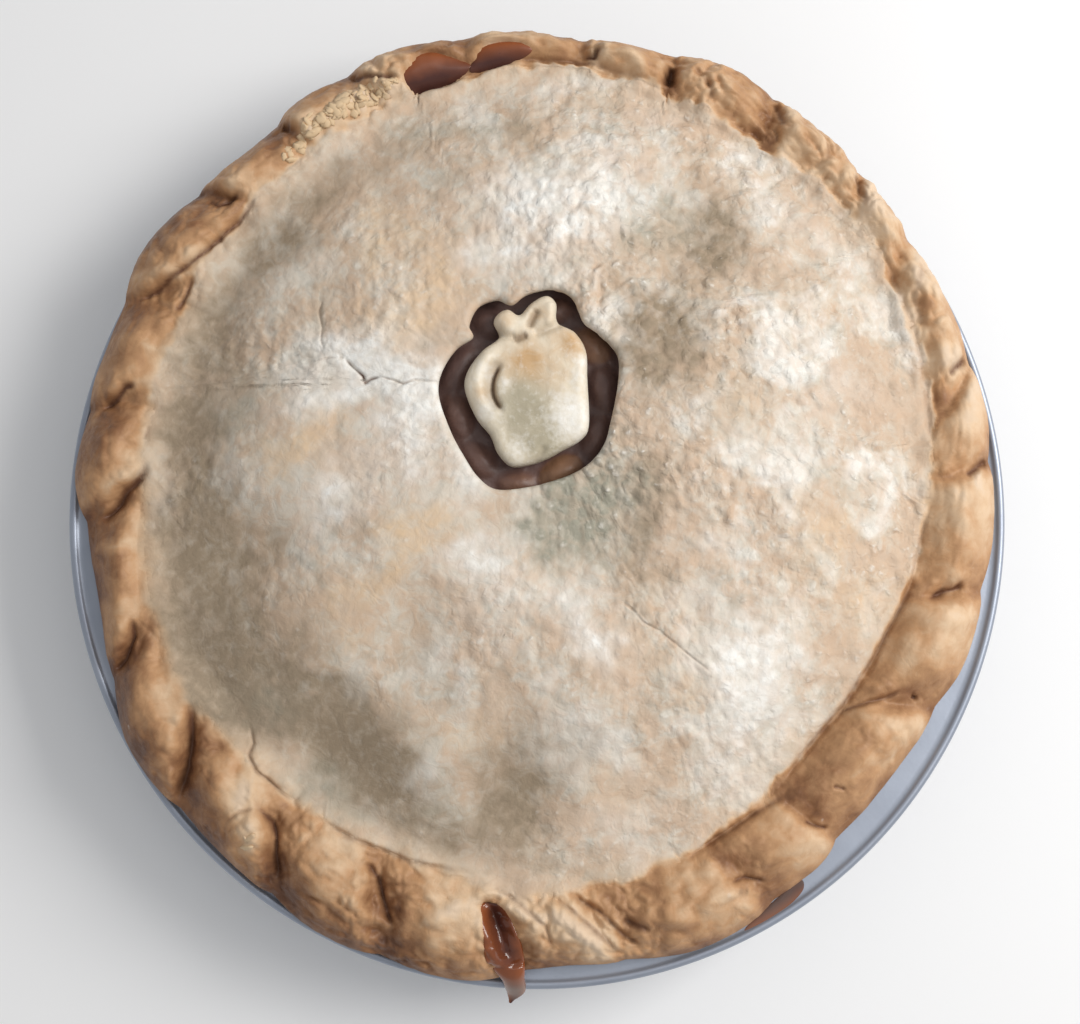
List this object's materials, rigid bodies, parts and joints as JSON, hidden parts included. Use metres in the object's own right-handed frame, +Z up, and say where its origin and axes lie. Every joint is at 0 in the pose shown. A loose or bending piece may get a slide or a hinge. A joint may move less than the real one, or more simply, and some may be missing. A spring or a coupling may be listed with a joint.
{
  "type": "apple pie in a foil tin",
  "caption": "Baked two-crust apple pie in its round foil tin, with a rope-crimped edge and an apple-shaped vent that shows the filling.",
  "frame": {"origin": "middle of the tin's flat base, on the surface that it stands on", "axes": "+Z up, through the middle of the tin; +X towards the viewer's right and +Y away from the viewer, towards the vent"},
  "size_m": [0.244, 0.2556, 0.0627],
  "materials": {
    "foil": "satin pressed foil, dull grey-blue, with a bright rolled bead",
    "baked_crust": "matt floury pastry, pale cream on the lid and golden brown on the edge",
    "apple_filling": "wet dark brown apple pieces in syrup",
    "pale_dough": "matt pale dough with a light tan top",
    "syrup": "glossy red-brown baked syrup"
  },
  "bodies": {
    "root": {"pie_tin": "foil", "crust": "baked_crust", "filling": "apple_filling", "dough_apple": "pale_dough", "syrup_pocket_left": "syrup", "syrup_pocket_right": "syrup", "syrup_drip": "syrup"}
  },
  "joints": []
}
